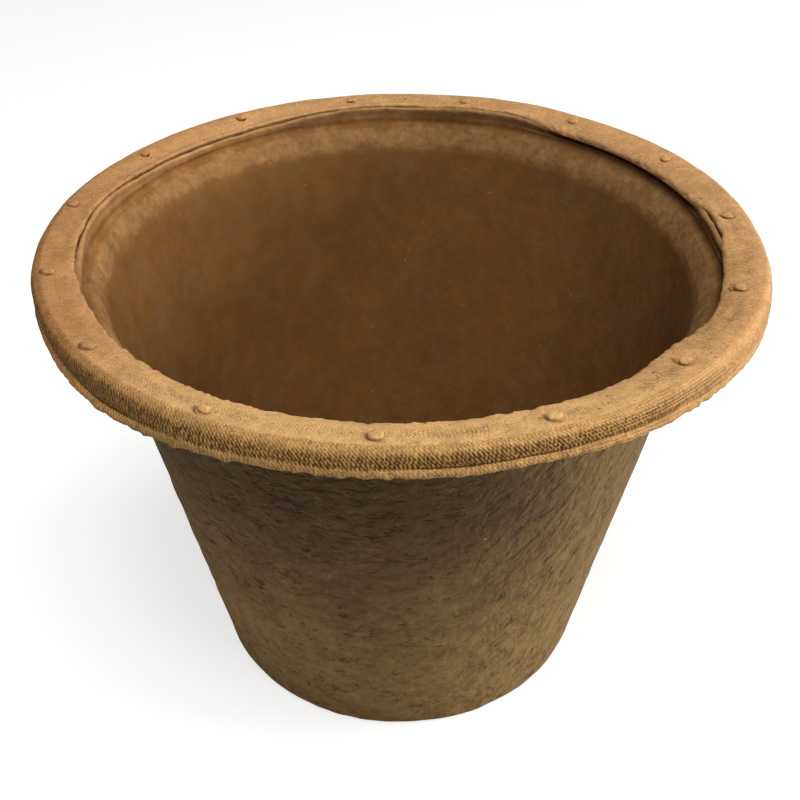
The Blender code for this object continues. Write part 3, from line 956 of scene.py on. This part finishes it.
ROW_BEND = 0.30                     # wander of the plain rows
ROW_COUNT = 2.4                     # plain rows in two rows of the imprint
BREAK_SHARE = 3.0                   # how far the threads are broken up


class Finish:
    """A material with its shader, and short ways to add nodes to it."""

    def __init__(self, name):
        self.material = bpy.data.materials.new(name)
        self.material.use_nodes = True
        self.tree = self.material.node_tree
        self.shader = self.tree.nodes["Principled BSDF"]

    def add(self, kind, inputs=(), **settings):
        """New node with its settings; each input is a number, a colour or another node's output."""
        node = self.tree.nodes.new(kind)
        for key, value in settings.items():
            setattr(node, key, value)
        for key, value in dict(inputs).items():
            self.feed(node.inputs[key], value)
        return node

    def feed(self, socket, value):
        """Join an output to an input, or set the input's own value."""
        if isinstance(value, bpy.types.NodeSocket):
            self.tree.links.new(value, socket)
        else:
            socket.default_value = value

    def compute(self, operation, first, second=0.0, clamp=False):
        """Math node's output."""
        node = self.add("ShaderNodeMath", {0: first, 1: second}, operation=operation, use_clamp=clamp)
        return node.outputs[0]

    def times(self, first, second, clamp=False):
        """Product."""
        return self.compute("MULTIPLY", first, second, clamp)

    def plus(self, first, second, clamp=False):
        """Sum."""
        return self.compute("ADD", first, second, clamp)

    def less(self, first, second, clamp=False):
        """Difference."""
        return self.compute("SUBTRACT", first, second, clamp)

    def most(self, first, second):
        """Greater of two numbers."""
        return self.compute("MAXIMUM", first, second)

    def wave(self, value, count=1.0):
        """Sine with a number of waves for each unit."""
        return self.compute("SINE", self.times(value, count * math.tau))

    def place(self, scale=(1.0, 1.0, 1.0)):
        """Object coordinates, stretched."""
        coordinates = self.add("ShaderNodeTexCoord").outputs["Object"]
        return self.add("ShaderNodeMapping", {"Vector": coordinates, "Scale": scale}).outputs[0]

    def lying(self, stretch, turn, tilt):
        """Object coordinates stretched along one line: turned about the axis and tilted up, in degrees."""
        coordinates = self.add("ShaderNodeTexCoord").outputs["Object"]
        rotation = (0.0, -math.radians(tilt), math.radians(turn))
        inputs = {"Vector": coordinates, "Rotation": rotation, "Scale": (stretch, 1.0, 1.0)}
        return self.add("ShaderNodeMapping", inputs, vector_type="TEXTURE").outputs[0]

    def axis(self, place, index):
        """One of three coordinates."""
        return self.add("ShaderNodeSeparateXYZ", {0: place}).outputs[index]

    def noise(self, place, cell, detail=3.0, roughness=0.55, distortion=0.0):
        """Noise from 0 to 1 whose features are about one cell across, in metres."""
        return self.add("ShaderNodeTexNoise", {"Vector": place, "Scale": 1.0 / cell, "Detail": detail,
                                               "Roughness": roughness, "Distortion": distortion}).outputs[0]

    def span(self, value, low, high, to_low=0.0, to_high=1.0):
        """Smooth step of a value between two limits, onto another range."""
        return self.add("ShaderNodeMapRange", {0: value, 1: low, 2: high, 3: to_low, 4: to_high},
                        interpolation_type="SMOOTHSTEP").outputs[0]

    def patches(self, place, cell, to_low, to_high, detail=3.0, roughness=0.55):
        """Soft patches about one cell across, from one number to another."""
        return self.span(self.noise(place, cell, detail, roughness), *PATCH_LIMITS, to_low, to_high)

    def mix(self, share, first, second, blend="MIX"):
        """Mixed colour."""
        node = self.add("ShaderNodeMix", {0: share}, data_type="RGBA", blend_type=blend)
        for socket, value in ((node.inputs[6], first), (node.inputs[7], second)):
            self.feed(socket, value if isinstance(value, bpy.types.NodeSocket) else (*value, 1.0))
        return node.outputs[2]

    def lay_marks_and_shade(self, base, *lay_marks_and_shade):
        """Colour with marks and painted shade laid over it in turn: mask, strength and colour of each."""
        for mask, strength, laid_colour in lay_marks_and_shade:
            base = self.mix(self.times(mask, strength), base, laid_colour)
        return base

    def shade(self, base, value):
        """Colour times a number."""
        grey = self.add("ShaderNodeCombineColor", {0: value, 1: value, 2: value}).outputs[0]
        return self.mix(1.0, base, grey, "MULTIPLY")

    def mix_number(self, share, first, second):
        """Mixed number."""
        return self.add("ShaderNodeMix", {0: share, 2: first, 3: second}, data_type="FLOAT").outputs[0]

    def attribute(self, name):
        """Number stored on the mesh."""
        return self.add("ShaderNodeAttribute", attribute_name=name).outputs["Fac"]

    def dress(self, base, roughness, height, depth):
        """Give the shader its colour, roughness and bump, the depth in metres, with a weak matt gloss."""
        bump = self.add("ShaderNodeBump", {"Height": height, "Distance": depth, "Strength": 1.0})
        self.feed(self.shader.inputs["Base Color"], base)
        self.feed(self.shader.inputs["Roughness"], roughness)
        self.feed(self.shader.inputs["Normal"], bump.outputs[0])
        self.shader.inputs["Specular IOR Level"].default_value = MATT_GLOSS
        return self.material


def specks(finish, cell, size, chance, flat=1.0):
    """Scattered specks: cells with a high enough random number, out to a small distance from the centre."""
    place = finish.place((1.0, 1.0, flat))
    noise = finish.add("ShaderNodeTexNoise", {"Vector": place, "Scale": SPECK_SHIFT / cell, "Detail": 2.0})
    inputs = {0: noise.outputs[1], 1: (cell, cell, cell)}
    shift = finish.add("ShaderNodeVectorMath", inputs, operation="MULTIPLY")
    moved = finish.add("ShaderNodeVectorMath", {0: place, 1: shift.outputs[0]}, operation="ADD")
    cells = finish.add("ShaderNodeTexVoronoi", {"Vector": moved.outputs[0], "Scale": 1.0 / cell})
    drawn = finish.add("ShaderNodeSeparateColor", {0: cells.outputs["Color"]}).outputs[0]
    chosen = finish.compute("GREATER_THAN", drawn, 1.0 - chance)
    return finish.times(chosen, finish.span(cells.outputs["Distance"], size, size * SPECK_CORE))


def creases(finish, place, cell, width, low, high):
    """Thin wandering lines where a noise crosses its middle, kept in patches."""
    crossing = finish.noise(place, cell, distortion=LINE_CURL)
    off = finish.compute("ABSOLUTE", finish.less(crossing, 0.5))
    thin = finish.span(off, width, width * LINE_CORE)
    return finish.times(thin, finish.span(finish.noise(place, cell * LINE_PATCH, 2.0), low, high))


def felt_finish(name, colours):
    """Felted fibre: brown mottling, cracks, folds and pits darkened with painted shade, pale shives and a
    lumpy bump, calmer on the inside; painted shade towards the rim, in the crease and in the cove, painted
    light lower down and at the left.
    """
    finish = Finish(name)
    place = finish.place()
    squat = finish.place(SQUAT)
    slant = finish.lying(*SLANT)
    tall = finish.place(TALL)
    across = finish.axis(place, 0)
    level = finish.axis(place, 2)
    inside = finish.attribute("inside")
    outside = finish.less(1.0, inside, True)
    pressed = finish.attribute("pale")
    slit, shive = colours.shade_and_fleck_colour, colours.shive_colour

    # Ground colours of the wall, the inside, the warm patches, the ledge and the mouth lip
    edge = finish.plus(finish.patches(place, *LEDGE_EDGE), finish.patches(place, *LEDGE_DRIFT))
    edge = finish.times(edge, finish.span(pressed, *PALE_EDGE))
    pale = finish.span(finish.plus(pressed, edge), *PALE_TURN)
    base = finish.mix(inside, colours.wall_colour, colours.inside_colour)
    base = finish.mix(finish.span(finish.noise(place, *WARMTH), *WARM_TURN), base, colours.warm_colour)
    base = finish.mix(pale, base, colours.ledge_colour)
    base = finish.mix(finish.attribute("lip"), base, colours.rim_colour)

    # Mottling; painted shade on the outside towards the rim and painted light lower down and at the left,
    # painted light on the inside at the left; the inside clouded and the ledge flecked
    fall = finish.mix_number(finish.span(across, *SHADOW_FALL_TURN), finish.span(level, *SHADOW_FALL_LEFT),
                             finish.span(level, *SHADOW_FALL_RIGHT))
    fall = finish.times(fall, finish.span(across, *LEFT_LIGHT))
    fall = finish.mix_number(inside, fall, finish.span(across, *INSIDE_LIGHT))
    calm = finish.less(inside, finish.times(pressed, LEDGE_FUZZ), True)
    mottle = finish.span(finish.noise(tall, *MOTTLE), *MOTTLE_TURN)
    shade = finish.times(finish.patches(place, *FELT_CLOUDS), finish.mix_number(calm, mottle, 1.0))
    shade = finish.times(shade, finish.mix_number(inside, 1.0, finish.patches(place, *INSIDE_CLOUDS)))
    base = finish.shade(base, finish.times(shade, fall))
    base = finish.shade(base, finish.mix_number(pressed, 1.0, finish.patches(place, *LEDGE_FLECKS)))

    # Cracks and folds, level at the left and slanted at the right, then hairs, pits and shives; cracks,
    # folds and pits are darkened with painted shade, and the stored painted shade of the crease and the
    # cove goes on last
    right = finish.span(across, *SLANT_TURN)
    level_cracks = finish.most(*(creases(finish, squat, *crack) for crack in LEVEL_CRACKS))
    slant_cracks = finish.most(*(creases(finish, slant, *crack) for crack in SLANT_CRACKS))
    cracks = finish.times(finish.mix_number(right, level_cracks, slant_cracks), outside)
    folds = finish.mix_number(right, creases(finish, squat, *FOLDS), creases(finish, slant, *FOLDS))
    folds = finish.times(folds, outside)
    hairs = finish.times(creases(finish, place, *HAIRS), outside)
    pit_shade = finish.times(specks(finish, *FELT_PITS), outside)
    shives = finish.most(*(specks(finish, *shives) for shives in FELT_SHIVES))
    dark_line = finish.attribute("dark_line")
    base = finish.lay_marks_and_shade(base, (folds, 0.16, slit), (cracks, 0.55, slit), (hairs, 0.16, shive),
                         (pit_shade, 0.7, slit), (shives, 0.40, shive), (dark_line, 0.85, slit))

    # Bump of fuzz and swellings, cut by the cracks and folds
    fuzz = finish.noise(tall, *FUZZ)
    swell = finish.noise(tall, *SWELL)
    height = finish.plus(finish.times(fuzz, FUZZ_HEIGHT), finish.times(swell, SWELL_HEIGHT))
    height = finish.less(height, finish.times(cracks, CRACK_DEPTH))
    height = finish.less(height, finish.times(folds, FOLD_DEPTH))
    height = finish.times(finish.less(height, FELT_MIDDLE), finish.mix_number(calm, 1.0, INSIDE_BUMP))
    return finish.dress(base, finish.span(fuzz, *FELT_ROUGHNESS), height, FELT_BUMP)


def weave(finish, relief):
    """Woven-wire imprint: slanted threads in staggered rows, which turn to plain rows towards the right."""
    place = finish.place()
    unrolled = finish.add("ShaderNodeUVMap", uv_map="unrolled").outputs[0]
    count = round(math.tau * RIM_RADIUS / relief.weave_pitch)
    wander = finish.less(finish.noise(place, *THREAD_WANDER), 0.5)
    level = finish.compute("DIVIDE", finish.axis(unrolled, 1), relief.weave_row)
    down = finish.plus(level, finish.times(wander, THREAD_BEND[0]))
    along = finish.times(finish.axis(unrolled, 0), float(count))
    along = finish.less(along, finish.times(down, THREAD_SLANT))
    along = finish.plus(along, finish.times(wander, THREAD_BEND[1]))
    threads = finish.times(finish.wave(along), finish.wave(down))
    rows = finish.wave(finish.plus(level, finish.times(wander, ROW_BEND)), ROW_COUNT)
    share = finish.times(finish.span(finish.axis(place, 0), *PLAIN_ROWS),
                         finish.span(finish.attribute("skirt"), *PLAIN_SKIRT))
    broken = finish.less(finish.noise(place, *THREAD_BREAKS), 0.5)
    turned = finish.plus(finish.mix_number(share, threads, rows), finish.times(broken, BREAK_SHARE))
    return finish.plus(finish.times(turned, 0.5), 0.5, True)


def tan_with_painted_light(finish, place, grain, colours):
    """Colour of the tan fibre: painted shade at the left, darker and redder, painted light at the front,
    paler, with patches and fine speckle.
    """
    across = finish.axis(place, 0)
    base = finish.mix(finish.span(across, *LEFT_TAN), colours.rim_colour, colours.left_shade_colour)
    base = finish.mix(finish.span(finish.axis(place, 1), *FRONT_TAN), base, colours.front_light_colour)
    shade = finish.times(finish.patches(place, *RIM_CLOUDS), finish.patches(place, *RIM_SPECKLE))
    shade = finish.times(shade, finish.span(across, *LEFT_SHADE))
    return finish.shade(base, finish.times(shade, finish.span(grain, *GRAIN_TURN)))


def rim_finish(name, colours, relief):
    """Tan fibre: grain and flecks, the wire imprint on the skirt and in patches on top, painted shade on
    the skirt, in the imprint's pits, in the crease and by the pips.
    """
    finish = Finish(name)
    place = finish.place()
    skirt = finish.attribute("skirt")
    imprint = weave(finish, relief)
    slit, shade_brown = colours.shade_and_fleck_colour, colours.painted_skirt_brown

    # Where the imprint shows: all over the skirt, and in patches on top that fade to the left and the back
    patch = finish.span(finish.noise(place, *ROUGH_PATCHES), *PATCH_TURN)
    patch = finish.times(patch, finish.attribute("band"))
    patch = finish.times(patch, finish.span(finish.axis(place, 0), *PATCH_LEFT))
    patch = finish.times(patch, finish.span(finish.axis(place, 1), *PATCH_BACK))
    gaps = finish.span(finish.noise(place, *IMPRINT_GAPS), *GAPS_TURN)
    strength = finish.times(finish.most(skirt, patch), gaps)

    # Colour: tan fibre, painted shade on the skirt, lighter on the threads, and in the pits of the imprint
    grain = finish.noise(place, *FINE_GRAIN)
    base = tan_with_painted_light(finish, place, grain, colours)
    # the skirt darker and warmer: partly the fibre's colour, partly painted shade
    base = finish.mix(skirt, base, finish.mix(1.0, base, colours.skirt_tint, "MULTIPLY"))
    depth = finish.mix_number(finish.span(imprint, *SKIRT_SHADE_TURN), *SKIRT_SHADE_SHARES)
    depth = finish.times(depth, finish.patches(place, *SKIRT_SHADE_CLOUDS))
    base = finish.mix(finish.times(finish.attribute("hollow"), depth, True), base, shade_brown)
    # Painted shade in the imprint's pits
    pit_shade = finish.times(finish.span(imprint, *PIT_TURN), strength)
    pit_share = finish.mix_number(skirt, *PIT_SHARES)
    pit_colour = finish.mix(skirt, shade_brown, slit)
    dark = finish.most(*(specks(finish, *flecks) for flecks in RIM_FLECKS))
    strands = creases(finish, place, *STRANDS)
    pale = specks(finish, *RIM_SHIVES)
    base = finish.lay_marks_and_shade(base, (pit_shade, pit_share, pit_colour), (dark, 0.55, slit), (strands, 0.30, slit),
                         (pale, 0.35, colours.shive_colour), (finish.attribute("dark_line"), 0.72, slit))

    height = finish.times(finish.less(imprint, 0.5), strength)
    height = finish.plus(height, finish.times(grain, GRAIN_HEIGHT))
    height = finish.less(height, finish.times(dark, FLECK_DEPTH))
    return finish.dress(base, finish.span(grain, *RIM_ROUGHNESS), height, RIM_BUMP)


def pip_finish(name, colours):
    """Tan fibre of the pips, with fine grain and dark flecks."""
    finish = Finish(name)
    place = finish.place()
    grain = finish.noise(place, *FINE_GRAIN)
    base = tan_with_painted_light(finish, place, grain, colours)
    base = finish.lay_marks_and_shade(base, (specks(finish, *PIP_FLECKS), 0.5, colours.shade_and_fleck_colour))
    return finish.dress(base, finish.span(grain, *RIM_ROUGHNESS), grain, PIP_BUMP)


def floor_material(stage):
    """Plain floor: pale to the camera, with the pot's shadow kept, and another grey to bounced light."""
    finish = Finish("pale_floor")
    rays = finish.add("ShaderNodeLightPath")
    seen = finish.plus(rays.outputs["Is Camera Ray"], rays.outputs["Is Glossy Ray"], True)
    seen = finish.plus(seen, rays.outputs["Is Transmission Ray"], True)
    shown = finish.mix(seen, stage.floor_bounce, stage.floor_colour)
    finish.feed(finish.shader.inputs["Base Color"], shown)
    finish.shader.inputs["Emission Color"].default_value = (1.0, 1.0, 1.0, 1.0)
    finish.feed(finish.shader.inputs["Emission Strength"], finish.times(seen, stage.floor_glow))
    finish.shader.inputs["Roughness"].default_value = 0.9
    finish.shader.inputs["Specular IOR Level"].default_value = 0.1
    return finish.material


# Operators

class POT_OT_wall(bpy.types.Operator):
    """Make the felted wall in place of its CAD solid"""

    bl_idname = "fibre_pot.wall"
    bl_label = "Wall"

    def execute(self, context):
        scene = context.scene
        mesh = make_wall(scene.pot_shape, scene.pot_relief)
        finish = felt_finish("felt_wall", scene.pot_finish)
        place_piece("felted_wall", mesh, finish, ["pot_wall"])
        return {"FINISHED"}


class POT_OT_floor(bpy.types.Operator):
    """Make the floor panel in place of its CAD solid"""

    bl_idname = "fibre_pot.floor"
    bl_label = "Floor"

    def execute(self, context):
        scene = context.scene
        mesh = make_floor(scene.pot_shape, scene.pot_relief)
        finish = felt_finish("felt_floor", scene.pot_finish)
        place_piece("felted_floor", mesh, finish, ["pot_floor"])
        return {"FINISHED"}


class POT_OT_collar(bpy.types.Operator):
    """Make the rolled rim in place of its CAD solid"""

    bl_idname = "fibre_pot.collar"
    bl_label = "Rolled rim"

    def execute(self, context):
        scene = context.scene
        mesh = make_collar(scene.pot_shape, scene.pot_relief)
        finish = rim_finish("wire_marked_rim", scene.pot_finish, scene.pot_relief)
        place_piece("rolled_rim", mesh, finish, ["rim_collar"])
        return {"FINISHED"}


class POT_OT_pips(bpy.types.Operator):
    """Make the pips along the rim in place of their CAD solids"""

    bl_idname = "fibre_pot.pips"
    bl_label = "Pips"

    def execute(self, context):
        finish = pip_finish("pip_fibre", context.scene.pot_finish)
        for index, (node, centre) in enumerate(zip(PIP_NODES, pip_places())):
            place_piece(f"pulp_pip_{index + 1:02d}", make_pip(index, centre), finish, [node])
        return {"FINISHED"}


STAGE_REACH = 3.0
LAMP_TARGET = (0.0, 0.0, 0.06)
KEY_PLACE, KEY_SIZE = (0.04, -0.26, 0.80), 0.45
SIDE_PLACE, SIDE_SIZE = (0.70, 0.02, 0.17), 0.40
SENSOR_WIDTH = 36.0
CLIP_START = 0.005


def add_lamp(name, place, size, power):
    """Soft square lamp that faces the pot."""
    lamp = bpy.data.lights.new(name, "AREA")
    lamp.size = size
    lamp.energy = power
    thing = bpy.data.objects.new(name, lamp)
    thing.location = place
    away = np.asarray(place) - np.asarray(LAMP_TARGET)
    flat = math.hypot(away[0], away[1])
    thing.rotation_euler = (math.atan2(flat, away[2]), 0.0, math.atan2(away[0], -away[1]))
    bpy.context.scene.collection.objects.link(thing)


class POT_OT_stage(bpy.types.Operator):
    """Make the floor, the lamps and the camera"""

    bl_idname = "fibre_pot.stage"
    bl_label = "Stage"

    def execute(self, context):
        scene = context.scene
        stage = scene.pot_stage
        corners = ((-1.0, -1.0), (1.0, -1.0), (1.0, 1.0), (-1.0, 1.0))
        mesh = bpy.data.meshes.new("stage_floor")
        mesh.from_pydata([(x * STAGE_REACH, y * STAGE_REACH, 0.0) for x, y in corners], [], [(0, 1, 2, 3)])
        mesh.materials.append(floor_material(stage))
        floor = bpy.data.objects.new("stage_floor", mesh)
        scene.collection.objects.link(floor)

        add_lamp("key_lamp", KEY_PLACE, KEY_SIZE, stage.key_power)
        add_lamp("side_lamp", SIDE_PLACE, SIDE_SIZE, stage.side_power)
        world = bpy.data.worlds.new("even_light")
        world.use_nodes = True
        backdrop = world.node_tree.nodes["Background"]
        backdrop.inputs["Color"].default_value = (1.0, 1.0, 1.0, 1.0)
        backdrop.inputs["Strength"].default_value = stage.sky
        scene.world = world

        lens = bpy.data.cameras.new("front_camera")
        lens.lens = stage.lens
        lens.sensor_width = SENSOR_WIDTH
        lens.clip_start = CLIP_START
        camera = bpy.data.objects.new("front_camera", lens)
        camera.location = (0.0, -stage.camera_back, stage.camera_height)
        camera.rotation_euler = (math.pi / 2 - stage.camera_pitch, 0.0, 0.0)
        scene.collection.objects.link(camera)
        scene.camera = camera
        scene.view_settings.view_transform = "Standard"
        return {"FINISHED"}


class POT_PT_panel(bpy.types.Panel):
    """Lists the pot's operators and settings"""

    bl_idname = "POT_PT_panel"
    bl_label = "Fibre pot"
    bl_space_type = "VIEW_3D"
    bl_region_type = "UI"
    bl_category = "Fibre pot"

    def draw(self, context):
        for operator in OPERATORS:
            self.layout.operator(operator.bl_idname)
        for group in GROUPS:
            for field in getattr(context.scene, group).bl_rna.properties.keys():
                if field not in ("rna_type", "name"):
                    self.layout.prop(getattr(context.scene, group), field)


OPERATORS = (POT_OT_wall, POT_OT_floor, POT_OT_collar, POT_OT_pips, POT_OT_stage)
GROUPS = {"pot_shape": PotShape, "pot_relief": PotRelief, "pot_finish": PotFinish, "pot_stage": PotStage}


def register():
    """Register the settings, operators and panel."""
    for name, group in GROUPS.items():
        bpy.utils.register_class(group)
        setattr(bpy.types.Scene, name, PointerProperty(type=group))
    for operator in OPERATORS:
        bpy.utils.register_class(operator)
    bpy.utils.register_class(POT_PT_panel)


def unregister():
    """Take the settings, operators and panel away again."""
    bpy.utils.unregister_class(POT_PT_panel)
    for operator in reversed(OPERATORS):
        bpy.utils.unregister_class(operator)
    for name, group in reversed(GROUPS.items()):
        delattr(bpy.types.Scene, name)
        bpy.utils.unregister_class(group)


def main():
    """Build every piece and the stage."""
    register()
    bpy.ops.fibre_pot.wall()
    bpy.ops.fibre_pot.floor()
    bpy.ops.fibre_pot.collar()
    bpy.ops.fibre_pot.pips()
    bpy.ops.fibre_pot.stage()


if __name__ == "__main__":
    main()
